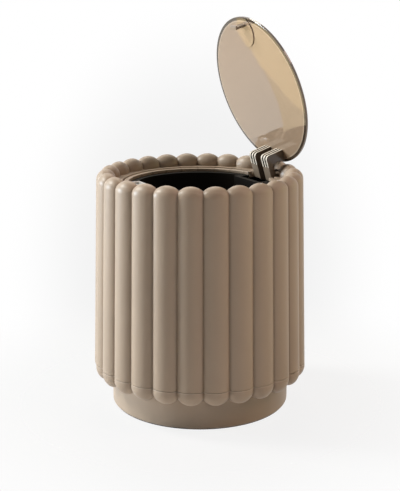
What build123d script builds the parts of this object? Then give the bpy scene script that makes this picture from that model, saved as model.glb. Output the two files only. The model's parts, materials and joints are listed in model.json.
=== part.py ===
"""Push-top countertop bin: fluted shell, scalloped base, spring lid on two goosenecks, push latch.

Millimetres.  The Z axis is the bin's axis, Z = 0 is the face it stands on, the lid's hinge
is at the back (+Y) and the latch is at the front (-Y).  The lid is modelled open.
"""
from build123d import *
import math
import os

# ---------------------------------------------------------------- flutes and shell
FLUTE_COUNT = 26
FLUTE_HALF_WIDTH = 9.4         # of a flute's oval section, before its neighbours cut into it
FLUTE_HALF_DEPTH = 6.6
FLUTE_CIRCLE_TOP = 61.9        # radius of the ring of flute axes at the spring line of the domes
FLUTE_DRAFT = 1.67             # degrees that each flute leans in towards the top
DOME_HEIGHT = 7.0
DOME_SHOULDER = 5.2            # radius of the tight arc where a dome meets its flute
DOME_SPRING_Z = 152.6
LOBE_SPRING_Z = 27.2
LOBE_HEIGHT = 8.0
SEAM_Z = 29.5
SEAM_GAP = 0.3
SHELL_WALL = 2.0

# ---------------------------------------------------------------- ledge and collar
LEDGE_DROP = 1.0               # from the spring line of the domes to the ledge
LEDGE_THICKNESS = 2.2
LEDGE_REVEAL = 0.5             # from under the lid's edge to the ledge's edge
COLLAR_GROOVE = 0.9
COLLAR_LIP = 3.1
COLLAR_DROP = 0.4              # the collar's lip lies this much below the ledge
FLANGE_THICKNESS = 2.2
FLANGE_SETBACK = 1.5           # from the collar's inner face to the flange's
FLANGE_CLEARANCE = 3.0         # from the flange to the shell's wall
COLLAR_SCREW_FLUTES = (2.5, 10.5, 15.5, 23.5)   # in steps of the flutes, from +X

# ---------------------------------------------------------------- base cap and plinth
PLINTH_RADIUS = 59.9
PLINTH_WALL = 2.4
PLINTH_EDGE = 1.2
BASE_FLOOR_Z = 26.0
BASE_FLOOR_THICKNESS = 2.5
PLINTH_OVERLAP = 1.25          # how far the plinth's wall runs up into the floor
SPIGOT_HEIGHT = 5.0
SPIGOT_WALL = 2.0
SPIGOT_CLEARANCE = 0.3
FOOT_RING_HEIGHT = 2.4
FOOT_RING_PROUD = 0.6
FOOT_RING_WIDTH = 2.6
FOOT_RIM_WIDTH = 5.0
FOOT_RIM_HEIGHT = 5.0
POST_CIRCLE = 56.5
POST_RADIUS = 3.6
POST_HEIGHT = 22.5
POST_WEB_GAP = 1.0             # between the spigot's top and the webs that carry the posts
POST_VALLEYS = (3, 10, 16, 23)                  # in steps of the flutes, from +X

# ---------------------------------------------------------------- inner bucket
BUCKET_REVEAL = 0.5            # from the collar's inner face to the bucket's rim
BUCKET_CLEARANCE = 1.0         # round the latch housing and beside the goosenecks
BUCKET_SWEEP_CLEARANCE = 0.6   # in front of the circle the goosenecks' corners sweep
BUCKET_RIM_DROP = 2.5          # from the ledge to the bucket's rim
BUCKET_WALL = 1.5
BUCKET_RIM_WIDTH = 1.8
BUCKET_RIM_HEIGHT = 2.4
BUCKET_TAPER = 1.6

# ---------------------------------------------------------------- lid and hinge
LID_CLEARANCE = 4.3            # from the lid's edge to the domes round it
LID_THICKNESS = 1.6
LID_LIFT = 2.8                 # from the spring line of the domes to the closed lid
LID_EDGE = 0.35
LID_OPEN_ANGLE = 73.0
PIVOT_SETBACK = 7.5            # from the lid's edge back to the pivot
PIVOT_DROP = 4.4               # from the closed lid down to the pivot
PIN_RADIUS = 1.2
PIN_FIT = 0.05                 # running fit round each of the pins
KNUCKLE_RADIUS = 2.4
ARM_WIDTH = 7.5
ARM_GAP = 7.0
ARM_RIB = 1.5
ARM_RIB_COUNT = 3
ARM_RIB_DEPTH = 3.6
ARM_REACH = 17.7               # from the pivot forward to the arm's front face
ARM_DROP = 9.2                 # from the pivot down to the arm's bottom face
ARM_BAR = 4.1
ARM_ROOT_LENGTH = 8.4
ARM_BEND = 2.6                 # radius of each bend in the gooseneck
ARM_KNEE = 2.0                 # height of the slope under the arm's root
ARM_THROAT = 6.56              # depth of the gooseneck's front leg, front to back
ARM_ROOT_DEPTH = 1.35          # how far the arm's root stands below the lid
HINGE_PLAY = 0.35
LUG_WIDTH = 1.3
CENTRE_LUG_WIDTH = 1.8
POCKET_CLEARANCE = 0.4
KNUCKLE_CLEARANCE = 0.3        # behind the knuckles, in the pocket
BRACKET_PLATE = 2.2
BRACKET_TAB_HEIGHT = 16.0
HINGE_SCREW_SPACING = 15.0
SPRING_WIRE = 0.7
SPRING_TURNS = 2.0

# ---------------------------------------------------------------- striker on the lid
STRIKER_INSET = 5.3            # from the lid's edge to the striker's middle
STRIKER_WIDTH = 7.2
STRIKER_THICKNESS = 1.4
STRIKER_LENGTH = 8.0
STRIKER_BARB = 1.2
STRIKER_BARB_RAMP = 0.72
STRIKER_PAD_RADIUS = 10.4
STRIKER_PAD_INSET = 10.0       # from the lid's edge to the pad's middle
STRIKER_PAD_HEIGHT = 0.6

# ---------------------------------------------------------------- push latch
SLIDER_GAP = 0.3               # from the raised slider to the pad of the closed lid
SLIDER_HEIGHT = 12.0
SLIDER_WIDTH = 10.4
SLIDER_DEPTH = 7.6
SLIDER_SETBACK = 0.4           # from the striker's middle to the slider's
SLIDER_SIDE_WALL = 0.9
SLIDER_END_WALL = 1.1
SLIDER_FLOOR = 1.8
SLIDER_CLEARANCE = 0.3
HOUSING_WALL = 1.6
HOUSING_HEIGHT = 21.4
HOUSING_EAR = 16.0
HOUSING_EAR_THICKNESS = 2.0
HOUSING_SCREW_X = 12.0
COVER_THICKNESS = 1.8
COVER_POST_HEIGHT = 3.6
LATCH_SPRING_RADIUS = 2.5
LATCH_SPRING_WIRE = 0.6
LATCH_SPRING_TURNS = 6.0
SPRING_SEAT = 0.05
PAWL_THICKNESS = 0.8
PAWL_WIDTH = 5.6
PAWL_REACH = 1.2
PAWL_HOOK_HEIGHT = 0.8
PAWL_PIVOT_DROP = 8.8          # from the slider's top face to the pawl's pivot
PAWL_PIVOT_INSET = 1.5         # from the slider's front face to the pawl's pivot
PAWL_LENGTH = 7.9
PAWL_KNUCKLE = 0.95
PAWL_PIN_RADIUS = 0.45
PAWL_OPEN_ANGLE = 10.0

# ---------------------------------------------------------------- screws
SCREW_RADIUS = 1.3
SCREW_HEAD_RADIUS = 2.5
SCREW_HEAD_HEIGHT = 1.4
SCREW_HEAD_ROUND = 0.84
BASE_SCREW_LENGTH = 7.0
HINGE_SCREW_LENGTH = 5.0
SCREW_COVER = 0.6              # left of the ledge over the screws that hold the collar and the latch
SCREW_FIT = 0.05
SCREW_SLOT = 0.7
BIG = 400.0                    # reaches past everything

# ---------------------------------------------------------------- values worked out from these
FLUTE_STEP = 360.0 / FLUTE_COUNT
FLUTE_SLOPE = math.tan(math.radians(FLUTE_DRAFT))


def flute_circle(z):
    """Radius of the ring of flute axes at height z."""
    return FLUTE_CIRCLE_TOP + FLUTE_SLOPE * (DOME_SPRING_Z - z)


def valley_radius(z):
    """Radius of the outer surface in the valley between two flutes at height z."""
    circle = flute_circle(z)
    across = math.sin(math.radians(FLUTE_STEP / 2)) / FLUTE_HALF_WIDTH
    outward = math.cos(math.radians(FLUTE_STEP / 2)) / FLUTE_HALF_DEPTH
    a = across ** 2 + outward ** 2
    b = outward * circle / FLUTE_HALF_DEPTH
    c = (circle / FLUTE_HALF_DEPTH) ** 2 - 1
    return (b + math.sqrt(b ** 2 - a * c)) / a


LEDGE_TOP_Z = DOME_SPRING_Z - LEDGE_DROP
LEDGE_UNDERSIDE_Z = LEDGE_TOP_Z - LEDGE_THICKNESS
FLANGE_BOTTOM_Z = LEDGE_UNDERSIDE_Z - FLANGE_THICKNESS
COLLAR_SCREW_LENGTH = LEDGE_TOP_Z - SCREW_COVER - FLANGE_BOTTOM_Z
LATCH_SCREW_LENGTH = COLLAR_SCREW_LENGTH + HOUSING_EAR_THICKNESS
COLLAR_TOP_Z = LEDGE_TOP_Z - COLLAR_DROP
BUCKET_RIM_Z = LEDGE_TOP_Z - BUCKET_RIM_DROP
LID_UNDERSIDE_Z = DOME_SPRING_Z + LID_LIFT
PIVOT_Z = LID_UNDERSIDE_Z - PIVOT_DROP
ARM_BOTTOM_Z = PIVOT_Z - ARM_DROP
POCKET_TOP_Z = LID_UNDERSIDE_Z - POCKET_CLEARANCE
BRACKET_TOP_Z = ARM_BOTTOM_Z - POCKET_CLEARANCE - HINGE_PLAY
SLIDER_TOP_Z = LID_UNDERSIDE_Z - STRIKER_PAD_HEIGHT - SLIDER_GAP   # raised, as with the lid open
SLIDER_BOTTOM_Z = SLIDER_TOP_Z - SLIDER_HEIGHT
HOUSING_BOTTOM_Z = LEDGE_UNDERSIDE_Z - HOUSING_HEIGHT
BASE_FLOOR_UNDERSIDE_Z = BASE_FLOOR_Z - BASE_FLOOR_THICKNESS
SPIGOT_TOP_Z = SEAM_Z + SPIGOT_HEIGHT

LID_RADIUS = FLUTE_CIRCLE_TOP - FLUTE_HALF_DEPTH - LID_CLEARANCE
LEDGE_INNER_RADIUS = LID_RADIUS + LEDGE_REVEAL
COLLAR_OUTER_RADIUS = LEDGE_INNER_RADIUS - COLLAR_GROOVE
COLLAR_INNER_RADIUS = COLLAR_OUTER_RADIUS - COLLAR_LIP
FLANGE_INNER_RADIUS = COLLAR_INNER_RADIUS + FLANGE_SETBACK
FLANGE_OUTER_RADIUS = valley_radius(LEDGE_UNDERSIDE_Z) - SHELL_WALL - FLANGE_CLEARANCE
COLLAR_SCREW_RADIUS = (LEDGE_INNER_RADIUS + FLANGE_OUTER_RADIUS) / 2
BUCKET_RIM_RADIUS = COLLAR_INNER_RADIUS - BUCKET_REVEAL
POST_AXIS = POST_CIRCLE - 2 * SCREW_RADIUS

PIVOT_Y = LID_RADIUS + PIVOT_SETBACK
ARM_FRONT_Y = PIVOT_Y - ARM_REACH
ARM_SWEEP = math.hypot(ARM_REACH - ARM_BEND, ARM_DROP - ARM_BEND) + ARM_BEND
POCKET_BACK_Y = PIVOT_Y + KNUCKLE_RADIUS + KNUCKLE_CLEARANCE
HINGE_HALF_WIDTH = ARM_GAP / 2 + ARM_WIDTH + HINGE_PLAY + LUG_WIDTH
POCKET_HALF_WIDTH = HINGE_HALF_WIDTH + POCKET_CLEARANCE
STRIKER_Y = STRIKER_INSET - LID_RADIUS
STRIKER_PAD_Y = STRIKER_PAD_INSET - LID_RADIUS
SLIDER_Y = STRIKER_Y - SLIDER_SETBACK
HOUSING_HALF_WIDTH = SLIDER_WIDTH / 2 + SLIDER_CLEARANCE + HOUSING_WALL
HOUSING_DEPTH = SLIDER_DEPTH + 2 * (SLIDER_CLEARANCE + HOUSING_WALL)
HOUSING_SCREW_Y = -math.sqrt(COLLAR_SCREW_RADIUS ** 2 - HOUSING_SCREW_X ** 2)


def box(x0, x1, y0, y1, z0, z1):
    """A box between two corners."""
    return Pos((x0 + x1) / 2, (y0 + y1) / 2, (z0 + z1) / 2) * Box(x1 - x0, y1 - y0, z1 - z0)


def tube(outer, inner, z0, z1):
    """A ring standing on z0."""
    middle = Pos(0, 0, (z0 + z1) / 2)
    return middle * (Cylinder(outer, z1 - z0) - Cylinder(inner, z1 - z0))


def rod(radius, z0, z1):
    """A solid cylinder standing on z0."""
    return Pos(0, 0, (z0 + z1) / 2) * Cylinder(radius, z1 - z0)


def bar_x(radius, x0, x1, y, z):
    """A cylinder that lies along X."""
    return Pos((x0 + x1) / 2, y, z) * Rot(Y=90) * Cylinder(radius, x1 - x0)


def dome_arcs(height, spring, up):
    """Two tangent arcs of a three-centred arch, from the flute's side to its crown."""
    offset = FLUTE_HALF_WIDTH - DOME_SHOULDER
    rise = FLUTE_HALF_WIDTH ** 2 + height ** 2 - 2 * FLUTE_HALF_WIDTH * DOME_SHOULDER
    crown = rise / (2 * (height - DOME_SHOULDER))
    turn = math.degrees(math.atan2(crown - height, offset))
    if up:
        shoulder = CenterArc((offset, spring), DOME_SHOULDER, 0, turn)
        top = CenterArc((0, spring + height - crown), crown, turn, 90 - turn)
    else:
        shoulder = CenterArc((offset, spring), DOME_SHOULDER, 0, -turn)
        top = CenterArc((0, spring - height + crown), crown, -turn, turn - 90)
    return shoulder, top


def flute_solid():
    """One flute with its dome above and its lobe below, standing on the Z axis."""
    upper_shoulder, upper_crown = dome_arcs(DOME_HEIGHT, DOME_SPRING_Z, True)
    lower_shoulder, lower_crown = dome_arcs(LOBE_HEIGHT, LOBE_SPRING_Z, False)
    side = Line((FLUTE_HALF_WIDTH, LOBE_SPRING_Z), (FLUTE_HALF_WIDTH, DOME_SPRING_Z))
    core = Line((0, DOME_SPRING_Z + DOME_HEIGHT), (0, LOBE_SPRING_Z - LOBE_HEIGHT))
    outline = Wire([side, upper_shoulder, upper_crown, core, lower_crown, lower_shoulder])
    round_flute = revolve(Plane.XZ * Face(outline), Axis.Z)
    return scale(round_flute, by=(1, FLUTE_HALF_DEPTH / FLUTE_HALF_WIDTH, 1))


def oval_rod(half_width, half_depth, z0, z1):
    """An upright rod of oval section, narrow way along Y."""
    return scale(rod(half_width, z0, z1), by=(1, half_depth / half_width, 1))


def lean(solid):
    """Carries a solid that stands on the Z axis to the leaning axis of the flute at +Y."""
    hinge = Pos(0, FLUTE_CIRCLE_TOP, DOME_SPRING_Z)
    return hinge * Rot(X=FLUTE_DRAFT) * Pos(0, 0, -DOME_SPRING_Z) * solid


def all_round(solid, count):
    """Copies of a solid, evenly spaced round the Z axis."""
    return [Rot(Z=360.0 / count * k) * solid for k in range(count)]


def screw(length):
    """A pan-head screw along -Z, with the underside of its head at the origin."""
    head = Pos(0, 0, SCREW_HEAD_HEIGHT / 2) * Cylinder(SCREW_HEAD_RADIUS, SCREW_HEAD_HEIGHT)
    head = fillet(head.faces().sort_by(Axis.Z)[-1].edges(), SCREW_HEAD_ROUND)
    slot_depth = SCREW_HEAD_HEIGHT / 2
    slot = Box(SCREW_SLOT, 2 * SCREW_RADIUS, slot_depth)
    cross = slot + Rot(Z=90) * slot
    shank = Pos(0, 0, -length / 2) * Cylinder(SCREW_RADIUS, length)
    return head + shank - Pos(0, 0, SCREW_HEAD_HEIGHT - slot_depth / 2) * cross


def screw_hole(length):
    """The hole that a screw's shank fits."""
    return Pos(0, 0, -length / 2) * Cylinder(SCREW_RADIUS + SCREW_FIT, length)


def collar_screw_places():
    """Where the collar's screws go, heads down, under the collar's flange."""
    spot = Pos(COLLAR_SCREW_RADIUS, 0, FLANGE_BOTTOM_Z) * Rot(X=180)
    return [Rot(Z=FLUTE_STEP * k) * spot for k in COLLAR_SCREW_FLUTES]


def base_screw_places():
    """Where the base cap's screws go, heads down, under its floor."""
    spot = Pos(POST_AXIS, 0, BASE_FLOOR_UNDERSIDE_Z) * Rot(X=180)
    return [Rot(Z=FLUTE_STEP * k) * spot for k in POST_VALLEYS]


def latch_screw_places():
    """Where the latch housing's screws go, heads down, under its ears."""
    z = FLANGE_BOTTOM_Z - HOUSING_EAR_THICKNESS
    return [Pos(side * HOUSING_SCREW_X, HOUSING_SCREW_Y, z) * Rot(X=180) for side in (-1, 1)]


def bracket_tab_back():
    """Y of the back of the hinge bracket's tab: its corners clear the shell's inner wall."""
    wall = valley_radius(LEDGE_UNDERSIDE_Z) - SHELL_WALL - POCKET_CLEARANCE
    return math.sqrt(wall ** 2 - HINGE_HALF_WIDTH ** 2)


def hinge_screw_places():
    """Where the hinge bracket's screws go, heads towards the bin's axis."""
    y = bracket_tab_back() - BRACKET_PLATE
    z = BRACKET_TOP_Z - BRACKET_PLATE - BRACKET_TAB_HEIGHT / 2
    return [Pos(side * HINGE_SCREW_SPACING / 2, y, z) * Rot(X=90) for side in (-1, 1)]


def hinge_pocket():
    """The room that the goosenecks swing in, cut from the crown, the ledge and the collar."""
    low = BRACKET_TOP_Z - BRACKET_PLATE - POCKET_CLEARANCE
    return box(-POCKET_HALF_WIDTH, POCKET_HALF_WIDTH, 0, POCKET_BACK_Y, low, POCKET_TOP_Z)


def flute_ring():
    """All the flutes joined into one ring."""
    flute = lean(flute_solid())
    return Part() + all_round(flute, FLUTE_COUNT)


def above(z):
    """Everything over a height."""
    return box(-BIG, BIG, -BIG, BIG, z, BIG)


def below(z):
    """Everything under a height."""
    return box(-BIG, BIG, -BIG, BIG, -BIG, z)


def shell_cavity():
    """The inside of the shell: a drafted bore, and a hollow up the back of each flute."""
    low = SEAM_Z - SPIGOT_HEIGHT
    top = LEDGE_UNDERSIDE_Z
    bore_low = valley_radius(low) - SHELL_WALL
    bore_top = valley_radius(top) - SHELL_WALL
    bore = Pos(0, 0, (low + top) / 2) * Cone(bore_low, bore_top, top - low)
    half_width = FLUTE_HALF_WIDTH - SHELL_WALL
    half_depth = FLUTE_HALF_DEPTH - SHELL_WALL
    hollow = lean(oval_rod(half_width, half_depth, low, top - SHELL_WALL))
    return bore + all_round(hollow, FLUTE_COUNT)


def make_shell(ring):
    """The fluted outer shell with its ledge, hinge pocket, screw posts and bosses."""
    shell = ring & above(SEAM_Z + SEAM_GAP)
    mid = (LEDGE_INNER_RADIUS + FLANGE_OUTER_RADIUS) / 2
    shell -= rod(mid, 0, LEDGE_UNDERSIDE_Z)
    shell -= shell_cavity()
    ledge_rim = valley_radius(LEDGE_TOP_Z) - SHELL_WALL / 2
    shell += tube(ledge_rim, LEDGE_INNER_RADIUS, LEDGE_UNDERSIDE_Z, LEDGE_TOP_Z)
    shell -= hinge_pocket()
    post_top = BASE_FLOOR_Z + POST_HEIGHT
    wall = valley_radius(post_top) - SHELL_WALL / 2
    web_half = SHELL_WALL / 2
    post = Pos(POST_AXIS, 0, 0) * rod(POST_RADIUS, BASE_FLOOR_Z, post_top)
    post += box(POST_AXIS, wall, -web_half, web_half, SPIGOT_TOP_Z + POST_WEB_GAP, post_top)
    shell += [Rot(Z=FLUTE_STEP * k) * post for k in POST_VALLEYS]
    boss_top = BRACKET_TOP_Z - BRACKET_PLATE - POCKET_CLEARANCE
    boss_wall = valley_radius(boss_top) - SHELL_WALL / 2
    boss_half = HINGE_SCREW_SPACING / 2 + SCREW_HEAD_RADIUS
    boss_low = boss_top - BRACKET_TAB_HEIGHT
    shell += box(-boss_half, boss_half, bracket_tab_back(), boss_wall, boss_low, boss_top)
    for place in collar_screw_places():
        shell -= place * screw_hole(COLLAR_SCREW_LENGTH)
    for place in latch_screw_places():
        shell -= place * screw_hole(LATCH_SCREW_LENGTH)
    for place in hinge_screw_places():
        shell -= place * screw_hole(HINGE_SCREW_LENGTH)
    for place in base_screw_places():
        shell -= place * screw_hole(BASE_SCREW_LENGTH)
    return shell


def make_base_cap(ring):
    """The scalloped cap that closes the shell, with its floor, its spigot and the plinth."""
    lobes = ring & below(SEAM_Z)
    inner = valley_radius(SPIGOT_TOP_Z) - SHELL_WALL - SPIGOT_CLEARANCE
    cap = lobes + rod(inner, BASE_FLOOR_UNDERSIDE_Z, SPIGOT_TOP_Z)
    cap -= rod(inner - SPIGOT_WALL, BASE_FLOOR_Z, SPIGOT_TOP_Z)
    plinth = rod(PLINTH_RADIUS, FOOT_RING_PROUD, BASE_FLOOR_UNDERSIDE_Z + PLINTH_OVERLAP)
    plinth = fillet(plinth.faces().sort_by(Axis.Z)[0].edges(), PLINTH_EDGE)
    cap += plinth
    cap -= rod(PLINTH_RADIUS - PLINTH_WALL, FOOT_RIM_HEIGHT, BASE_FLOOR_UNDERSIDE_Z)
    cap -= rod(PLINTH_RADIUS - FOOT_RIM_WIDTH, 0, FOOT_RIM_HEIGHT)
    cap -= foot_ring_solid()
    for place in base_screw_places():
        cap -= place * screw_hole(BASE_SCREW_LENGTH)
    return cap


def foot_ring_solid():
    """The soft ring let into the plinth's rim."""
    middle = PLINTH_RADIUS - FOOT_RIM_WIDTH / 2
    return tube(middle + FOOT_RING_WIDTH / 2, middle - FOOT_RING_WIDTH / 2, 0, FOOT_RING_HEIGHT)


def notched(plug, grow):
    """A plug with two notches up its side, one for the goosenecks and one for the latch."""
    hinge_x = ARM_GAP / 2 + ARM_WIDTH + BUCKET_CLEARANCE + grow
    hinge_y = PIVOT_Y - ARM_SWEEP - BUCKET_SWEEP_CLEARANCE - grow
    latch_x = HOUSING_HALF_WIDTH + BUCKET_CLEARANCE + grow
    latch_y = -SLIDER_Y - HOUSING_DEPTH / 2 - BUCKET_CLEARANCE - grow
    plug -= box(-hinge_x, hinge_x, hinge_y, BIG, 0, BIG)
    return plug - box(-latch_x, latch_x, -BIG, -latch_y, 0, BIG)


def make_bucket():
    """The inner bucket: tapered, with a thickened rim and the two notches."""
    wall_top = BUCKET_RIM_RADIUS - BUCKET_RIM_WIDTH
    height = BUCKET_RIM_Z - BASE_FLOOR_Z
    foot = wall_top - height * math.tan(math.radians(BUCKET_TAPER))
    outer = Pos(0, 0, BASE_FLOOR_Z + height / 2) * Cone(foot, wall_top, height)
    bucket = notched(outer, BUCKET_RIM_WIDTH)
    rim = rod(BUCKET_RIM_RADIUS, BUCKET_RIM_Z - BUCKET_RIM_HEIGHT, BUCKET_RIM_Z)
    bucket += notched(rim, 0)
    inner = Cone(foot - BUCKET_WALL, wall_top - BUCKET_WALL, height)
    inner = Pos(0, 0, BASE_FLOOR_Z + BUCKET_WALL + height / 2) * inner
    return bucket - notched(inner, BUCKET_RIM_WIDTH + BUCKET_WALL)


def make_collar():
    """The collar that frames the mouth: a lip in view, on a flange screwed up under the ledge."""
    collar = tube(COLLAR_OUTER_RADIUS, COLLAR_INNER_RADIUS, LEDGE_UNDERSIDE_Z, COLLAR_TOP_Z)
    edges = collar.faces().sort_by(Axis.Z)[-1].edges()
    collar = fillet(edges, COLLAR_DROP)
    flange = tube(FLANGE_OUTER_RADIUS, FLANGE_INNER_RADIUS, FLANGE_BOTTOM_Z, LEDGE_UNDERSIDE_Z)
    flange -= slider_box(SLIDER_CLEARANCE + HOUSING_WALL, FLANGE_BOTTOM_Z, LEDGE_UNDERSIDE_Z)
    collar += flange
    collar -= hinge_pocket()
    mouth = SLIDER_WIDTH / 2 + SLIDER_CLEARANCE
    collar -= box(-mouth, mouth, -BIG, 0, LEDGE_UNDERSIDE_Z, COLLAR_TOP_Z)
    for place in collar_screw_places():
        collar -= place * screw_hole(COLLAR_SCREW_LENGTH)
    for place in latch_screw_places():
        collar -= place * screw_hole(LATCH_SCREW_LENGTH)
    return collar


def make_hinge_bracket():
    """The bracket under the pocket: a plate, three lugs that hold the pin, and a screwed tab."""
    back = bracket_tab_back()
    low = BRACKET_TOP_Z - BRACKET_PLATE
    front = PIVOT_Y - 3 * KNUCKLE_RADIUS
    half = HINGE_HALF_WIDTH
    bracket = box(-half, half, front, back, low, BRACKET_TOP_Z)
    bracket += box(-half, half, back - BRACKET_PLATE, back, low - BRACKET_TAB_HEIGHT, low)
    centre = CENTRE_LUG_WIDTH / 2
    lug_front = PIVOT_Y - KNUCKLE_RADIUS
    lug_back = PIVOT_Y + KNUCKLE_RADIUS
    for x0, x1 in ((-half, LUG_WIDTH - half), (-centre, centre), (half - LUG_WIDTH, half)):
        bracket += box(x0, x1, lug_front, lug_back, BRACKET_TOP_Z, PIVOT_Z)
        bracket += bar_x(KNUCKLE_RADIUS, x0, x1, PIVOT_Y, PIVOT_Z)
    bracket -= bar_x(PIN_RADIUS, -half, half, PIVOT_Y, PIVOT_Z)
    for place in hinge_screw_places():
        bracket -= place * screw_hole(HINGE_SCREW_LENGTH)
    return bracket


def make_torsion_spring():
    """Two coils round the pin, one on each side of the centre lug, with legs down the bracket."""
    coil_radius = PIN_RADIUS + PIN_FIT + SPRING_WIRE
    room = (ARM_GAP - CENTRE_LUG_WIDTH) / 2
    height = room - 2 * SPRING_WIRE
    leg_length = PIVOT_Z - BRACKET_TOP_Z - SPRING_WIRE
    coil = Helix(height / SPRING_TURNS, height, coil_radius)
    leg = Line(coil @ 0, (coil @ 0) - Vector(0, leg_length, 0))
    section = Plane(origin=leg @ 1, z_dir=leg % 1) * Circle(SPRING_WIRE / 2)
    spring = sweep(section, path=Wire([leg, coil]))
    start = CENTRE_LUG_WIDTH / 2 + SPRING_WIRE
    right = Pos(start, PIVOT_Y, PIVOT_Z) * Rot(Y=90) * Rot(Z=90) * spring
    return [right, mirror(right, Plane.YZ)]


def opened(solid):
    """Swings a piece of the lid from closed to open about the hinge pin."""
    pivot = Pos(0, PIVOT_Y, PIVOT_Z)
    return pivot * Rot(X=-LID_OPEN_ANGLE) * pivot.inverse() * solid


def make_lid():
    """The thin round lid, closed."""
    top = LID_UNDERSIDE_Z + LID_THICKNESS
    lid = rod(LID_RADIUS, LID_UNDERSIDE_Z, top)
    return fillet(lid.edges(), LID_EDGE)


def arm_outline(inset):
    """The side outline of a gooseneck, closed, with its front and bottom faces set in."""
    front = ARM_FRONT_Y + inset
    bottom = ARM_BOTTOM_Z + inset
    back = PIVOT_Y + KNUCKLE_RADIUS
    root_back = ARM_FRONT_Y + ARM_ROOT_LENGTH
    knee = LID_UNDERSIDE_Z - ARM_ROOT_DEPTH
    throat_front = ARM_FRONT_Y + ARM_THROAT
    throat_back = back - 2 * KNUCKLE_RADIUS
    throat_low = ARM_BOTTOM_Z + ARM_BAR
    bends = [
        (front, bottom),
        (back, bottom),
        (throat_back, throat_low),
        (throat_front, throat_low),
    ]
    points = [
        (front, LID_UNDERSIDE_Z),
        bends[0],
        bends[1],
        (back, PIVOT_Z),
        (throat_back, PIVOT_Z),
        bends[2],
        bends[3],
        (throat_front, knee - ARM_KNEE),
        (root_back, knee),
        (root_back, LID_UNDERSIDE_Z),
    ]
    outline = make_face(Polyline(*points, close=True))
    for y, z in bends:
        corner = outline.vertices().sort_by_distance((y, z, 0))[0]
        outline = fillet(corner, ARM_BEND)
    return Plane.YZ * outline


def make_arm(side):
    """One gooseneck arm, closed: a U-shaped arm with ribs round its front corner."""
    centre = side * (ARM_GAP + ARM_WIDTH) / 2
    arm = Pos(centre, 0, 0) * extrude(arm_outline(0), ARM_WIDTH / 2, both=True)
    x0 = centre - ARM_WIDTH / 2
    arm += bar_x(KNUCKLE_RADIUS, x0, x0 + ARM_WIDTH, PIVOT_Y, PIVOT_Z)
    arm -= bar_x(PIN_RADIUS + PIN_FIT, x0, x0 + ARM_WIDTH, PIVOT_Y, PIVOT_Z)
    groove = (ARM_WIDTH - ARM_RIB_COUNT * ARM_RIB) / (ARM_RIB_COUNT - 1)
    keep = extrude(arm_outline(ARM_RIB_DEPTH), ARM_WIDTH, both=True)
    reach = ARM_FRONT_Y + ARM_RIB_DEPTH + ARM_BEND / 2
    for k in range(ARM_RIB_COUNT - 1):
        g0 = x0 + ARM_RIB * (k + 1) + groove * k
        cut = box(g0, g0 + groove, ARM_FRONT_Y - 1, reach, ARM_BOTTOM_Z - 1, LID_UNDERSIDE_Z)
        arm -= cut - Pos(centre, 0, 0) * keep
    return arm


def make_striker_pad():
    """The thin round pad under the lid that carries the striker."""
    low = LID_UNDERSIDE_Z - STRIKER_PAD_HEIGHT
    pad = Pos(0, STRIKER_PAD_Y, 0) * rod(STRIKER_PAD_RADIUS, low, LID_UNDERSIDE_Z)
    return pad & rod(LID_RADIUS - STRIKER_PAD_HEIGHT, low, LID_UNDERSIDE_Z)


def make_striker():
    """The tongue that hooks into the latch, with its barb towards the front."""
    low = LID_UNDERSIDE_Z - STRIKER_LENGTH
    top = LID_UNDERSIDE_Z - STRIKER_PAD_HEIGHT
    half = STRIKER_WIDTH / 2
    y0 = STRIKER_Y - STRIKER_THICKNESS / 2
    y1 = STRIKER_Y + STRIKER_THICKNESS / 2
    outline = Polyline(
        (y1, top),
        (y1, low),
        (y0, low),
        (y0 - STRIKER_BARB, low + STRIKER_BARB_RAMP),
        (y0 - STRIKER_BARB, low + STRIKER_BARB),
        (y0, low + STRIKER_BARB),
        (y0, top),
        close=True,
    )
    return extrude(Plane.YZ * make_face(outline), half, both=True)


def slider_box(margin, z0, z1):
    """The slider's outer section, grown by a margin."""
    half_x = SLIDER_WIDTH / 2 + margin
    half_y = SLIDER_DEPTH / 2 + margin
    return box(-half_x, half_x, SLIDER_Y - half_y, SLIDER_Y + half_y, z0, z1)


def make_latch_housing():
    """The latch's housing: a channel for the slider, hung by two ears under the ledge."""
    low = HOUSING_BOTTOM_Z
    top = LEDGE_UNDERSIDE_Z
    ear_low = FLANGE_BOTTOM_Z - HOUSING_EAR_THICKNESS
    ears = tube(FLANGE_OUTER_RADIUS, FLANGE_INNER_RADIUS, ear_low, FLANGE_BOTTOM_Z)
    ears &= box(-HOUSING_EAR, HOUSING_EAR, -BIG, 0, low, top)
    housing = ears + slider_box(SLIDER_CLEARANCE + HOUSING_WALL, low, top)
    housing -= slider_box(SLIDER_CLEARANCE, low, top)
    for place in latch_screw_places():
        housing -= place * screw_hole(LATCH_SCREW_LENGTH)
    return housing


def make_latch_cover():
    """The cap under the housing, with a post that centres the spring."""
    top = HOUSING_BOTTOM_Z
    cover = slider_box(SLIDER_CLEARANCE + HOUSING_WALL, top - COVER_THICKNESS, top)
    post = LATCH_SPRING_RADIUS - LATCH_SPRING_WIRE - SPRING_SEAT
    return cover + Pos(0, SLIDER_Y, 0) * rod(post, top, top + COVER_POST_HEIGHT)


def pawl_pivot():
    """Y and Z of the pawl's pivot with the slider raised."""
    return SLIDER_Y - SLIDER_DEPTH / 2 + PAWL_PIVOT_INSET, SLIDER_TOP_Z - PAWL_PIVOT_DROP


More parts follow.
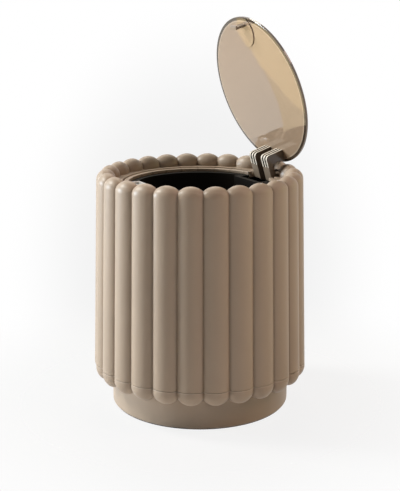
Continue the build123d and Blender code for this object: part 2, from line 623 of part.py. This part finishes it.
def make_slider():
    """The slider that the lid pushes down: a cup with a window for the pawl."""
    slider = slider_box(0, SLIDER_BOTTOM_Z, SLIDER_TOP_Z)
    mouth_x = SLIDER_WIDTH / 2 - SLIDER_SIDE_WALL
    front = SLIDER_Y - SLIDER_DEPTH / 2
    back = SLIDER_Y + SLIDER_DEPTH / 2
    floor = SLIDER_BOTTOM_Z + SLIDER_FLOOR
    slider -= box(-mouth_x, mouth_x, front + SLIDER_END_WALL, back - SLIDER_END_WALL, floor, BIG)
    window = PAWL_WIDTH / 2 + SLIDER_CLEARANCE
    pivot_y, pivot_z = pawl_pivot()
    low = pivot_z - PAWL_KNUCKLE - SLIDER_CLEARANCE
    slider -= box(-window, window, front, pivot_y, low, BIG)
    return slider - make_pawl_pin()


def make_pawl_pin():
    """The pin that the pawl swings on."""
    half = SLIDER_WIDTH / 2 - SLIDER_SIDE_WALL / 2
    pivot_y, pivot_z = pawl_pivot()
    return bar_x(PAWL_PIN_RADIUS, -half, half, pivot_y, pivot_z)


def make_pawl():
    """The pawl that hooks over the striker's barb, leaning open as it does in the raised slider."""
    half = PAWL_WIDTH / 2
    t = PAWL_THICKNESS / 2
    top = PAWL_LENGTH + PAWL_HOOK_HEIGHT
    outline = Polyline(
        (-t, 0),
        (-t, top),
        (t, top),
        (t + PAWL_REACH, PAWL_LENGTH + PAWL_HOOK_HEIGHT / 2),
        (t + PAWL_REACH, PAWL_LENGTH),
        (t, PAWL_LENGTH),
        (t, 0),
        close=True,
    )
    pawl = extrude(Plane.YZ * make_face(outline), half, both=True)
    pawl += bar_x(PAWL_KNUCKLE, -half, half, 0, 0)
    pawl -= bar_x(PAWL_PIN_RADIUS + PIN_FIT, -half, half, 0, 0)
    pivot_y, pivot_z = pawl_pivot()
    return Pos(0, pivot_y, pivot_z) * Rot(X=PAWL_OPEN_ANGLE) * pawl


def make_latch_spring():
    """The coil that lifts the slider."""
    low = HOUSING_BOTTOM_Z + SPRING_SEAT
    height = SLIDER_BOTTOM_Z - SPRING_SEAT - low - LATCH_SPRING_WIRE
    path = Helix(height / LATCH_SPRING_TURNS, height, LATCH_SPRING_RADIUS)
    section = Plane(origin=path @ 0, z_dir=path % 0) * Circle(LATCH_SPRING_WIRE / 2)
    coil = sweep(section, path=path)
    return Pos(0, SLIDER_Y, low + LATCH_SPRING_WIRE / 2) * coil


def main():
    """Builds every piece and writes one STEP file for each."""
    os.makedirs("parts", exist_ok=True)
    ring = flute_ring()
    pin_half = HINGE_HALF_WIDTH
    nodes = {
        "fluted_shell": make_shell(ring),
        "base_cap": make_base_cap(ring),
        "foot_ring": foot_ring_solid(),
        "base_screws": [place * screw(BASE_SCREW_LENGTH) for place in base_screw_places()],
        "inner_bucket": make_bucket(),
        "collar_ring": make_collar(),
        "collar_screws": [place * screw(COLLAR_SCREW_LENGTH) for place in collar_screw_places()],
        "hinge_bracket": make_hinge_bracket(),
        "hinge_screws": [place * screw(HINGE_SCREW_LENGTH) for place in hinge_screw_places()],
        "hinge_pin": bar_x(PIN_RADIUS, -pin_half, pin_half, PIVOT_Y, PIVOT_Z),
        "torsion_spring": make_torsion_spring(),
        "lid_panel": opened(make_lid()),
        "hinge_arm_left": opened(make_arm(-1)),
        "hinge_arm_right": opened(make_arm(1)),
        "striker_pad": opened(make_striker_pad()),
        "striker": opened(make_striker()),
        "latch_housing": make_latch_housing(),
        "latch_cover": make_latch_cover(),
        "latch_screws": [place * screw(LATCH_SCREW_LENGTH) for place in latch_screw_places()],
        "latch_slider": make_slider(),
        "latch_pawl": make_pawl(),
        "pawl_pin": make_pawl_pin(),
        "latch_spring": make_latch_spring(),
    }
    for name, shape in nodes.items():
        solid = Compound(children=shape) if isinstance(shape, list) else shape
        export_step(solid, f"parts/{name}.step")


main()
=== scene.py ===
"""Dresses the push-top countertop bin.

Satin taupe plastic on the shell, a tinted glossy lid, a dark bucket, soft studio light.
"""
import json
import math

import bpy
from mathutils import Matrix, Vector


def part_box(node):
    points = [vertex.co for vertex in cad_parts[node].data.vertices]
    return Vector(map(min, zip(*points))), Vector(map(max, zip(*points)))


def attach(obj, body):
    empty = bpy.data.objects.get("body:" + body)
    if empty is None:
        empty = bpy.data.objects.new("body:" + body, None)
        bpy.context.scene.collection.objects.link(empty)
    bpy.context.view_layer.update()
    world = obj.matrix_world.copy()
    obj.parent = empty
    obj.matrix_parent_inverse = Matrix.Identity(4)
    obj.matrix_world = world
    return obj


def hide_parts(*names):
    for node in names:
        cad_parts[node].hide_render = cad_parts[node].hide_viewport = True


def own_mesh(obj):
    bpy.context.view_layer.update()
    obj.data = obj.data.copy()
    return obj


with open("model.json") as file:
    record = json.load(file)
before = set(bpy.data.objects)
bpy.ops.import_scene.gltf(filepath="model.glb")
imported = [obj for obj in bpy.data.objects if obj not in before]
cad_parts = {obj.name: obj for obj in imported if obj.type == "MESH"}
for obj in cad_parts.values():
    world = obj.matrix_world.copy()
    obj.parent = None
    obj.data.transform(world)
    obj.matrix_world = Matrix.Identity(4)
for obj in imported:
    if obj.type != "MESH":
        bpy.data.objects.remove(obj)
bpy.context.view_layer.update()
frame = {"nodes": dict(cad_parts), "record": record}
nodes = frame["nodes"]

FLOAT = "NodeSocketFloat"
COLOR = "NodeSocketColor"
VECTOR = "NodeSocketVector"
SMOOTH = "SMOOTHSTEP"


# ---------------------------------------------------------------- camera
CAMERA_PLACE = (0.6273, -0.3549, 0.2899)
CAMERA_AZIMUTH = math.radians(60.5)
CAMERA_PITCH = 0.2477
CAMERA_TURN = (
    Matrix.Rotation(CAMERA_AZIMUTH, 4, "Z") @ Matrix.Rotation(math.pi / 2 - CAMERA_PITCH, 4, "X")
)
CAMERA_LENS = 81.22
CAMERA_SENSOR = 36.0
CAMERA_SHIFT_Y = -0.001
CAMERA_CLIP_START = 0.01
FRAME_WIDTH, FRAME_HEIGHT = 400, 491


def show(obj):
    """Puts an object in the scene."""
    bpy.context.scene.collection.objects.link(obj)
    return obj


def place_camera():
    """A camera at eye height over the counter, looking a little down at the bin."""
    data = bpy.data.cameras.new("studio_camera")
    data.sensor_width = CAMERA_SENSOR
    data.lens = CAMERA_LENS
    data.shift_y = CAMERA_SHIFT_Y
    data.clip_start = CAMERA_CLIP_START
    camera = show(bpy.data.objects.new("studio_camera", data))
    camera.matrix_world = Matrix.Translation(CAMERA_PLACE) @ CAMERA_TURN
    bpy.context.scene.camera = camera


# ---------------------------------------------------------------- node helpers
def add(tree, kind, **settings):
    """A node with its settings."""
    node = tree.nodes.new(kind)
    for key, value in settings.items():
        setattr(node, key, value)
    return node


def feed(tree, value, target):
    """Gives an input a link where the value is a socket, and else the plain value."""
    if isinstance(value, bpy.types.NodeSocket):
        tree.links.new(value, target)
    else:
        target.default_value = value


def feed_all(tree, node, values):
    """Gives a node's inputs their values by name, and returns the node."""
    for label, value in values.items():
        feed(tree, value, node.inputs[label])
    return node


def calc(tree, operation, *values, clamp=False):
    """A maths node over sockets and plain numbers, by its result."""
    node = add(tree, "ShaderNodeMath", operation=operation, use_clamp=clamp)
    for value, target in zip(values, node.inputs):
        feed(tree, value, target)
    return node.outputs[0]


def product(tree, first, *others):
    """Masks multiplied."""
    for other in others:
        first = calc(tree, "MULTIPLY", first, other)
    return first


def between(tree, value, low, high):
    """1 where a value lies between two limits."""
    over = calc(tree, "GREATER_THAN", value, low)
    under = calc(tree, "LESS_THAN", value, high)
    return product(tree, over, under)


def measure(tree, operation, first, second):
    """A number made from two vectors, such as the distance between them."""
    node = add(tree, "ShaderNodeVectorMath", operation=operation)
    feed(tree, first, node.inputs[0])
    feed(tree, second, node.inputs[1])
    return node.outputs["Value"]


def ramp(tree, value, low, high, to_low=0.0, to_high=1.0, kind="LINEAR"):
    """A value carried from one range to another."""
    node = add(tree, "ShaderNodeMapRange", interpolation_type=kind)
    values = {
        "Value": value, "From Min": low, "From Max": high, "To Min": to_low, "To Max": to_high,
    }
    return feed_all(tree, node, values).outputs["Result"]


def split(tree, vector):
    """A vector's three numbers."""
    node = add(tree, "ShaderNodeSeparateXYZ")
    feed(tree, vector, node.inputs[0])
    return node.outputs


def object_place(tree):
    """The place of a point on its own object, in metres."""
    return add(tree, "ShaderNodeTexCoord").outputs["Object"]


def mix_color(tree, share, first, second):
    """Two colours mixed by a share."""
    node = add(tree, "ShaderNodeMix", data_type="RGBA")
    return feed_all(tree, node, {"Factor": share, "A": first, "B": second}).outputs["Result"]


def mix_shader(tree, share, first, second):
    """Two shaders mixed by a share."""
    node = add(tree, "ShaderNodeMixShader")
    for value, target in zip((share, first, second), node.inputs):
        feed(tree, value, target)
    return node.outputs[0]


def shader(tree, kind, **values):
    """A shader node with its inputs' values, by its output."""
    return feed_all(tree, add(tree, kind), values).outputs[0]


def new_group(name, inputs, outputs):
    """A shader node group with named sockets: the group, what it is given and what it makes."""
    group = bpy.data.node_groups.new(name, "ShaderNodeTree")
    for label, kind, value in inputs:
        socket = group.interface.new_socket(name=label, in_out="INPUT", socket_type=kind)
        socket.default_value = value
    for label, kind in outputs:
        group.interface.new_socket(name=label, in_out="OUTPUT", socket_type=kind)
    return group, add(group, "NodeGroupInput").outputs, add(group, "NodeGroupOutput").inputs


def new_material(name):
    """An empty material: the material, its tree and the surface input of its output."""
    material = bpy.data.materials.new(name)
    material.use_nodes = True
    tree = material.node_tree
    tree.nodes.clear()
    return material, tree, add(tree, "ShaderNodeOutputMaterial").inputs["Surface"]


COLUMN_WIDTH = 220
ROW_HEIGHT = 190


def lay_out(tree):
    """Sets a tree's nodes in columns, each to the left of those that it feeds."""
    columns = {node.name: 0 for node in tree.nodes}
    for _ in columns:
        for joint in tree.links:
            least = columns[joint.to_node.name] + 1
            columns[joint.from_node.name] = max(columns[joint.from_node.name], least)
    rows = {}
    for name, column in columns.items():
        rows[column] = rows.get(column, 0) + 1
        tree.nodes[name].location = (-COLUMN_WIDTH * column, -ROW_HEIGHT * rows[column])


# ---------------------------------------------------------------- shared shader groups
MOTTLE_SCALE, MOTTLE_DETAIL = 18.0, 4.0
GRAIN_DETAIL = 3.0
SMEAR_SCALE, SMEAR_DETAIL = 55.0, 5.0
NOISE_SPAN = (0.3, 0.7)
NOISE_MIDDLE = 0.5


def noise(tree, place, scale, detail):
    """A noise over the piece."""
    node = add(tree, "ShaderNodeTexNoise")
    return feed_all(tree, node, {"Vector": place, "Scale": scale, "Detail": detail}).outputs["Fac"]


def moulded_skin_group():
    """Fine orange peel, slow mottling and a faint dust film, for every moulded piece."""
    group, given, made = new_group(
        "moulded_skin",
        [
            ("Base", COLOR, (0.4, 0.3, 0.2, 1)),
            ("Dust", COLOR, (0.6, 0.55, 0.5, 1)),
            ("Mottle", FLOAT, 0.06),
            ("Dust Amount", FLOAT, 0.05),
            ("Grain Size", FLOAT, 900.0),
            ("Grain Height", FLOAT, 0.05),
            ("Roughness", FLOAT, 0.4),
            ("Roughness Spread", FLOAT, 0.06),
        ],
        [("Color", COLOR), ("Roughness", FLOAT), ("Height", FLOAT)],
    )
    place = object_place(group)
    slow = noise(group, place, MOTTLE_SCALE, MOTTLE_DETAIL)
    fine = noise(group, place, given["Grain Size"], GRAIN_DETAIL)
    smear = noise(group, place, SMEAR_SCALE, SMEAR_DETAIL)

    swing = ramp(group, slow, *NOISE_SPAN, to_low=-1.0)
    shade = add(group, "ShaderNodeVectorMath", operation="SCALE")
    feed(group, given["Base"], shade.inputs[0])
    feed(group, calc(group, "MULTIPLY_ADD", swing, given["Mottle"], 1.0), shade.inputs["Scale"])

    upward = split(group, add(group, "ShaderNodeNewGeometry").outputs["Normal"])["Z"]
    settled = calc(group, "MULTIPLY", upward, smear, clamp=True)
    film = calc(group, "MULTIPLY", settled, given["Dust Amount"], clamp=True)
    feed(group, mix_color(group, film, shade.outputs[0], given["Dust"]), made["Color"])

    scatter = calc(group, "SUBTRACT", smear, NOISE_MIDDLE)
    rough = calc(
        group, "MULTIPLY_ADD", scatter, given["Roughness Spread"], given["Roughness"], clamp=True
    )
    feed(group, rough, made["Roughness"])
    feed(group, product(group, fine, given["Grain Height"]), made["Height"])
    return group


def ring_mask_group():
    """A mask that comes up round a centre, between two distances from it."""
    group, given, made = new_group(
        "ring_mask",
        [("Centre", VECTOR, (0, 0, 0)), ("Inner", FLOAT, 0.04), ("Outer", FLOAT, 0.05)],
        [("Mask", FLOAT)],
    )
    away = measure(group, "DISTANCE", object_place(group), given["Centre"])
    feed(group, ramp(group, away, given["Inner"], given["Outer"], kind=SMOOTH), made["Mask"])
    return group


def level_mask_group():
    """A mask that is full between two heights and fades over a soft edge."""
    group, given, made = new_group(
        "level_mask",
        [("Low", FLOAT, 0.0), ("High", FLOAT, 0.01), ("Soft", FLOAT, 0.0005)],
        [("Mask", FLOAT)],
    )
    height = split(group, object_place(group))["Z"]
    over = calc(group, "SUBTRACT", height, given["Low"])
    under = calc(group, "SUBTRACT", given["High"], height)
    depth = calc(group, "MINIMUM", over, under)
    feed(group, calc(group, "DIVIDE", depth, given["Soft"], clamp=True), made["Mask"])
    return group


FLUTE_COUNT = 26.0
HALF_FLUTE = 0.5


def flute_mask_group():
    """How near a point is to a valley between flutes: 1 in it, 0 from Width of a flute away; it
    places the painted shade in the valleys.
    """
    group, given, made = new_group(
        "flute_mask",
        [("Count", FLOAT, FLUTE_COUNT), ("Width", FLOAT, 0.1), ("Foot", FLOAT, 0.0)],
        [("Valley", FLOAT)],
    )
    place = split(group, object_place(group))
    turns = calc(group, "DIVIDE", calc(group, "ARCTAN2", place["Y"], place["X"]), 2 * math.pi)
    away = calc(group, "PINGPONG", product(group, turns, given["Count"]), HALF_FLUTE)
    valley = ramp(group, away, 0.0, given["Width"], to_low=1.0, to_high=0.0, kind=SMOOTH)
    above = calc(group, "GREATER_THAN", place["Z"], given["Foot"])
    feed(group, product(group, valley, above), made["Valley"])
    return group


ARM_GROOVE_X = 0.00575
ARM_GROOVE_HALF = 0.00078
ARM_RIB_PITCH = 0.0030
ARM_SIDES = (0.0036, 0.0109)
ARM_RIBS_FROM_HINGE = (0.0125, 0.0240)
ARM_RIBS_LOW_Z = 0.1575
ARM_FLAT_NORMAL = (-0.5, 0.5)
HINGE_AXIS = (0.0, 0.0585, 0.1510)


def arm_rib_group():
    """The gooseneck arms' masks for painted light: painted shade in the grooves and a painted
    highlight on the ridges round the front corner, and painted shade on the flanks.
    """
    group, given, made = new_group(
        "arm_ribs",
        [("Half Width", FLOAT, ARM_GROOVE_HALF)],
        [("Groove Shade", FLOAT), ("Ridge Highlight", FLOAT), ("Flank Shade", FLOAT)],
    )
    place = split(group, object_place(group))
    side = calc(group, "ABSOLUTE", place["X"])
    from_first = calc(group, "SUBTRACT", side, ARM_GROOVE_X)
    from_nearest = calc(group, "PINGPONG", from_first, ARM_RIB_PITCH / 2)
    level = add(group, "ShaderNodeCombineXYZ")
    feed_all(group, level, {"Y": place["Y"], "Z": place["Z"]})
    reach = measure(group, "DISTANCE", level.outputs[0], HINGE_AXIS)
    near_corner = between(group, reach, *ARM_RIBS_FROM_HINGE)
    corner = product(group, near_corner, calc(group, "GREATER_THAN", place["Z"], ARM_RIBS_LOW_Z))
    inside = between(group, side, *ARM_SIDES)
    deep = calc(group, "LESS_THAN", from_nearest, given["Half Width"])
    feed(group, product(group, deep, corner, inside), made["Groove Shade"])

    across = split(group, add(group, "ShaderNodeNewGeometry").outputs["Normal"])["X"]
    flat = between(group, across, *ARM_FLAT_NORMAL)
    raised = calc(group, "SUBTRACT", 1.0, deep)
    feed(group, product(group, raised, corner, flat), made["Ridge Highlight"])
    sideways = calc(group, "SUBTRACT", 1.0, flat)
    on_arm = between(group, reach, 0.0, ARM_RIBS_FROM_HINGE[1])
    feed(group, product(group, sideways, on_arm), made["Flank Shade"])
    return group


skin = moulded_skin_group()
ring_mask = ring_mask_group()
level_mask = level_mask_group()
flute_mask = flute_mask_group()
arm_ribs = arm_rib_group()


# ---------------------------------------------------------------- finishes
SKIN_BUMP = 0.3
SKIN_BUMP_DISTANCE = 0.0002


def placed_group(material, group, output, **values):
    """A shared mask group in a material, with its values set, by one of its outputs."""
    tree = material.node_tree
    return feed_all(tree, add(tree, "ShaderNodeGroup", node_tree=group), values).outputs[output]


def tint_where(material, mask, color, amount):
    """Mixes a colour into a material's base colour where a mask is up."""
    tree = material.node_tree
    target = tree.nodes["Principled BSDF"].inputs["Base Color"]
    share = calc(tree, "MULTIPLY", mask, amount, clamp=True)
    feed(tree, mix_color(tree, share, target.links[0].from_socket, (*color, 1)), target)


def make_plastic(name, base, sockets, bump=SKIN_BUMP, **settings):
    """A moulded plastic: the shared skin group in front of one Principled shader."""
    material, tree, surface = new_material(name)
    group = add(tree, "ShaderNodeGroup", node_tree=skin)
    feed_all(tree, group, {"Base": (*base, 1), **sockets})
    relief = add(tree, "ShaderNodeBump")
    values = {"Strength": bump, "Distance": SKIN_BUMP_DISTANCE, "Height": group.outputs["Height"]}
    feed_all(tree, relief, values)
    values = {
        "Base Color": group.outputs["Color"],
        "Roughness": group.outputs["Roughness"],
        "Normal": relief.outputs["Normal"],
        **{label.replace("_", " "): value for label, value in settings.items()},
    }
    feed(tree, shader(tree, "ShaderNodeBsdfPrincipled", **values), surface)
    return material


def finish_node(name, material):
    """Gives a CAD node its material."""
    mesh = nodes[name].data
    mesh.materials.clear()
    mesh.materials.append(material)


PLINTH_TOP_Z = 0.0195
SEAM_Z = 0.0295
# A painted highlight: a thin pale line just under the seam, where the lower cap's top edge catches
# light.
SEAM_HIGHLIGHT_BAND = {"Low": SEAM_Z - 0.0007, "High": SEAM_Z + 0.0002, "Soft": 0.0003}
TAUPE = (0.375, 0.285, 0.207)
TAUPE_VALLEY_SHADE = (0.16, 0.115, 0.08)
TAUPE_SEAM_HIGHLIGHT = (0.62, 0.52, 0.42)

taupe = make_plastic(
    "taupe_satin", TAUPE, {"Roughness": 0.43, "Mottle": 0.03}, Specular_IOR_Level=0.4
)
# Painted shade: the valleys between the flutes are darkened, above the plinth.
valley = placed_group(taupe, flute_mask, "Valley", Width=0.09, Foot=PLINTH_TOP_Z)
tint_where(taupe, valley, TAUPE_VALLEY_SHADE, 0.45)
# Painted highlight along the thin band under the seam.
tint_where(taupe, placed_group(taupe, level_mask, "Mask", **SEAM_HIGHLIGHT_BAND), TAUPE_SEAM_HIGHLIGHT, 0.35)

ARM_TAUPE = (0.25, 0.19, 0.135)
# Painted light on the arms: near-black painted shade in the grooves, a pale painted highlight on
# the ridges and painted shade on the flanks.
ARM_PAINTED_LIGHT = {
    "Groove Shade": ((0.010, 0.007, 0.004), 0.97),
    "Ridge Highlight": ((0.80, 0.70, 0.57), 0.9),
    "Flank Shade": ((0.045, 0.032, 0.022), 0.6),
}

gloss = make_plastic(
    "taupe_gloss", ARM_TAUPE, {"Roughness": 0.22, "Mottle": 0.02},
    Coat_Weight=0.3, Coat_Roughness=0.1,
)
for output, tint in ARM_PAINTED_LIGHT.items():
    tint_where(gloss, placed_group(gloss, arm_ribs, output), *tint)

LID_TAUPE = (0.325, 0.226, 0.148)
# Painted light round the lid's edge, each from its inner distance outwards: a pale painted
# highlight line, then a near-black painted shade line, then dark painted shade on the rim.
LID_EDGE_PAINTED_LIGHT = [
    ((0.0478, 0.0483), (0.50, 0.40, 0.30), 0.5),
    ((0.0487, 0.0491), (0.030, 0.020, 0.012), 0.92),
    ((0.0507, 0.0509), (0.16, 0.115, 0.08), 1.0),
]
lid_middle = tuple((low + high) / 2 for low, high in zip(*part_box("lid_panel")))

lid_tint = make_plastic(
    "lid_tinted", LID_TAUPE, {"Roughness": 0.05, "Mottle": 0.015, "Grain Height": 0.0},
    bump=0.05, Coat_Weight=0.6, Coat_Roughness=0.03,
)
for (inner, outer), color, amount in LID_EDGE_PAINTED_LIGHT:
    ring = placed_group(lid_tint, ring_mask, "Mask", Centre=lid_middle, Inner=inner, Outer=outer)
    tint_where(lid_tint, ring, color, amount)

FINISHES = {
    "taupe_satin": taupe,
    "taupe_gloss": gloss,
    "lid_tinted": lid_tint,
    "black_plastic": make_plastic(
        "black_plastic", (0.0045, 0.0032, 0.002), {"Roughness": 0.65}, Specular_IOR_Level=0.06
    ),
    "dark_plastic": make_plastic("dark_plastic", (0.03, 0.034, 0.03), {"Roughness": 0.4}),
    "white_plastic": make_plastic("white_plastic", (0.85, 0.84, 0.82), {"Roughness": 0.25}),
    "foot_rubber": make_plastic("foot_rubber", (0.05, 0.045, 0.04), {"Roughness": 0.7}),
    "steel": make_plastic("steel", (0.6, 0.59, 0.57), {"Roughness": 0.3}, Metallic=1.0),
}


def make_latch_coil():
    """The latch's coil spring as its own piece on the bin's body, in place of the CAD part; the
    real spring shortens as the slider goes down.
    """
    source = nodes["latch_spring"]
    coil = show(bpy.data.objects.new("latch_coil", source.data.copy()))
    coil.matrix_world = source.matrix_world.copy()
    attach(coil, "bin")
    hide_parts("latch_spring")
    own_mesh(coil)


# ---------------------------------------------------------------- stage
WHITE = (1, 1, 1, 1)
PAPER = (0.9, 0.9, 0.9, 1)
FLOOR_REACH = 6.0
FLOOR_GLOW = 0.93
FLOOR_PAPER_SHARE = 0.09
FLOOR_FADE = {"Inner": 0.07, "Outer": 0.26}


def seen_rays(tree, *kinds):
    """1 for rays of the given kinds, 0 for the rest."""
    path = add(tree, "ShaderNodeLightPath").outputs
    total = path[kinds[0]]
    for kind in kinds[1:]:
        total = calc(tree, "MAXIMUM", total, path[kind])
    return total


def make_floor():
    """A pale floor that keeps the bin's shadow, melts into the surround and is clear from below."""
    mesh = bpy.data.meshes.new("studio_floor")
    corners = [(-1, -1), (1, -1), (1, 1), (-1, 1)]
    corners = [(x * FLOOR_REACH, y * FLOOR_REACH, 0) for x, y in corners]
    mesh.from_pydata(corners, [], [(0, 1, 2, 3)])
    floor = show(bpy.data.objects.new("studio_floor", mesh))
    material, tree, surface = new_material("studio_floor")
    pale = seen_rays(tree, "Is Camera Ray", "Is Glossy Ray", "Is Transmission Ray")
    paper = shader(tree, "ShaderNodeBsdfDiffuse", Color=PAPER)
    glow = shader(tree, "ShaderNodeEmission", Color=WHITE, Strength=FLOOR_GLOW)
    sheet = mix_shader(tree, product(tree, pale, 1 - FLOOR_PAPER_SHARE), paper, glow)
    far = placed_group(material, ring_mask, "Mask", **FLOOR_FADE)
    under = add(tree, "ShaderNodeNewGeometry").outputs["Backfacing"]
    fade = product(tree, seen_rays(tree, "Is Camera Ray"), calc(tree, "MAXIMUM", far, under))
    clear = shader(tree, "ShaderNodeBsdfTransparent")
    feed(tree, mix_shader(tree, fade, sheet, clear), surface)
    mesh.materials.append(material)


HALO_MIDDLE = Vector((-0.8410, 0.4725, -0.2636))
HALO_RIGHT = Vector((0.4924, 0.8704, 0.0))
HALO_WIDTH = 0.158
HALO_HEIGHT = 0.2212
HALO_SHADE = 0.888
HALO_EDGE = (0.5, 1.12)
HALO_BEHIND = 0.5


def soft_halo(tree):
    """A white surround with a faint grey shade behind the bin, by direction alone."""
    place = add(tree, "ShaderNodeTexCoord").outputs["Generated"]
    ahead = measure(tree, "DOT_PRODUCT", place, HALO_MIDDLE)
    squares = []
    for axis, size in ((HALO_RIGHT, HALO_WIDTH), (HALO_RIGHT.cross(HALO_MIDDLE), HALO_HEIGHT)):
        slope = calc(tree, "DIVIDE", measure(tree, "DOT_PRODUCT", place, axis), ahead)
        squares.append(calc(tree, "POWER", calc(tree, "DIVIDE", slope, size), 2.0))
    radius = calc(tree, "SQRT", calc(tree, "ADD", *squares))
    behind = calc(tree, "LESS_THAN", ahead, HALO_BEHIND)
    reach = calc(tree, "ADD", radius, behind)
    return ramp(tree, reach, *HALO_EDGE, to_low=HALO_SHADE, kind=SMOOTH)


def make_world(strength, tint):
    """A white surround for the camera and for reflections, and a soft even light for the rest."""
    world = bpy.data.worlds.new("studio_world")
    bpy.context.scene.world = world
    world.use_nodes = True
    tree = world.node_tree
    tree.nodes.clear()
    surface = add(tree, "ShaderNodeOutputWorld").inputs["Surface"]
    white = shader(tree, "ShaderNodeBackground", Color=WHITE, Strength=1.0)
    fill = shader(tree, "ShaderNodeBackground", Color=(*tint, 1), Strength=strength)
    backdrop = shader(tree, "ShaderNodeBackground", Color=WHITE, Strength=soft_halo(tree))
    mirrored = seen_rays(tree, "Is Glossy Ray", "Is Transmission Ray")
    around = mix_shader(tree, mirrored, fill, white)
    feed(tree, mix_shader(tree, seen_rays(tree, "Is Camera Ray"), around, backdrop), surface)


LAMP_AIM = Vector((0, 0, 0.1))
LAMP_REACH = 2.0


def make_lamp(name, azimuth, elevation, size, power, tint):
    """A square soft lamp, placed by its direction from the bin as the camera sees it."""
    data = bpy.data.lights.new(name, "AREA")
    data.shape = "SQUARE"
    data.size = size
    data.energy = power
    data.color = tint
    lamp = show(bpy.data.objects.new(name, data))
    turn = CAMERA_AZIMUTH + math.radians(azimuth)
    rise = math.radians(elevation)
    back = Vector(
        (math.sin(turn) * math.cos(rise), -math.cos(turn) * math.cos(rise), math.sin(rise))
    )
    lamp.location = LAMP_AIM + back * LAMP_REACH
    lamp.rotation_euler = back.to_track_quat("Z", "Y").to_euler()


# ---------------------------------------------------------------- light panels
LID_MIDDLE = Vector((0.0, 0.0464, 0.2084))
LID_FACING = Vector((0.0, -0.9564, -0.2920))
PANEL_Z = 0.163
PANEL_FADE_X = (-0.24, -0.02)
HIDDEN_RAYS = ("camera", "diffuse", "transmission", "volume_scatter", "shadow")


def mirrored_place(across, down):
    """Where the open lid mirrors a point of the camera's frame to, on the panels' level."""
    focal = CAMERA_LENS / CAMERA_SENSOR * FRAME_HEIGHT
    right, up = (across - FRAME_WIDTH / 2) / focal, (FRAME_HEIGHT / 2 - down) / focal
    sight = (CAMERA_TURN.to_3x3() @ Vector((right, up, -1.0))).normalized()
    place = Vector(CAMERA_PLACE)
    on_lid = place + sight * ((LID_MIDDLE - place).dot(LID_FACING) / sight.dot(LID_FACING))
    away = sight.reflect(LID_FACING)
    return on_lid + away * ((PANEL_Z - on_lid.z) / away.z)


def make_panel(name, color, strengths, corners):
    """A light panel that only polished surfaces see, from above: a band in the open lid."""
    mesh = bpy.data.meshes.new(name)
    places = [mirrored_place(*corner) for corner in corners]
    mesh.from_pydata(places, [], [tuple(range(len(places)))])
    if mesh.polygons[0].normal.z < 0:
        mesh.flip_normals()
    panel = show(bpy.data.objects.new(name, mesh))
    for kind in HIDDEN_RAYS:
        setattr(panel, "visible_" + kind, False)
    material, tree, surface = new_material(name)
    strength = ramp(tree, split(tree, object_place(tree))["X"], *PANEL_FADE_X, *strengths)
    glow = shader(tree, "ShaderNodeEmission", Color=(*color, 1), Strength=strength)
    below = add(tree, "ShaderNodeNewGeometry").outputs["Backfacing"]
    clear = shader(tree, "ShaderNodeBsdfTransparent")
    feed(tree, mix_shader(tree, below, glow, clear), surface)
    mesh.materials.append(material)


# The lid's bands meet along these lines, in the camera's frame.
LID_RISE = [(262, 66.5), (256, 55), (248, 44), (240, 31)]
LID_CREASE = [(285, 127), (283.3, 116.7), (280, 103), (275, 91.7), (266.7, 72)]
LID_FOOT = [(252, 139), (258, 137), (266.7, 134.2), (275, 130), (281.7, 127.5)]
LID_FALL = [(266.7, 70), (278, 83), (286.7, 95), (295, 103), (316, 122)]
PALE_SIDE = [(236, 5), (205, 40), (214, 90), (240, 130)]
WARM_SIDE = [(318, 90), (275, 5), (238, 5)]
OLIVE_SIDE = [(285, 131.5), (290, 129.2), (301.7, 125.8), (316, 124)]
PALE_BAND = PALE_SIDE + LID_FOOT + LID_CREASE + LID_RISE
WARM_BAND = LID_RISE[::-1] + LID_FALL + WARM_SIDE
OLIVE_BAND = LID_RISE[:1] + LID_CREASE[::-1] + OLIVE_SIDE + LID_FALL[::-1]

# Name, colour, strengths far and near, corners.
PANELS = [
    ("panel_pale", (1.0, 0.97, 0.92), (0.85, 1.2), PALE_BAND),
    ("panel_warm", (1.0, 0.78, 0.44), (1.84, 1.84), WARM_BAND),
    ("panel_olive", (1.0, 0.83, 0.54), (1.12, 1.12), OLIVE_BAND),
]
# Name, azimuth from the camera and elevation in degrees, size in metres, watts, colour.
LAMPS = [
    ("key_high", -104, 42, 0.45, 35, (1, 1, 0.95)),
    ("key_low", -99, 8, 0.4, 42, (0.78, 0.89, 1.0)),
    ("back_high", 178, 52, 0.8, 9, (1, 0.93, 0.8)),
    ("fill_low", 100, 10, 1.0, 5.5, (0.96, 1, 0.5)),
    ("fill_high", 75, 45, 1.0, 14, (1, 0.72, 0.6)),
]


# ---------------------------------------------------------------- making
for part in frame["record"]["subparts"]:
    finish_node(part["node"], FINISHES[part["material_slot"]])

place_camera()
make_latch_coil()
make_floor()
for panel in PANELS:
    make_panel(*panel)
bpy.context.scene.view_settings.view_transform = "Standard"
make_world(0.02, (1, 0.95, 0.9))
for lamp in LAMPS:
    make_lamp(*lamp)

lay_out(bpy.context.scene.world.node_tree)
for group in bpy.data.node_groups:
    lay_out(group)
for material in bpy.data.materials:
    if material.node_tree:
        lay_out(material.node_tree)
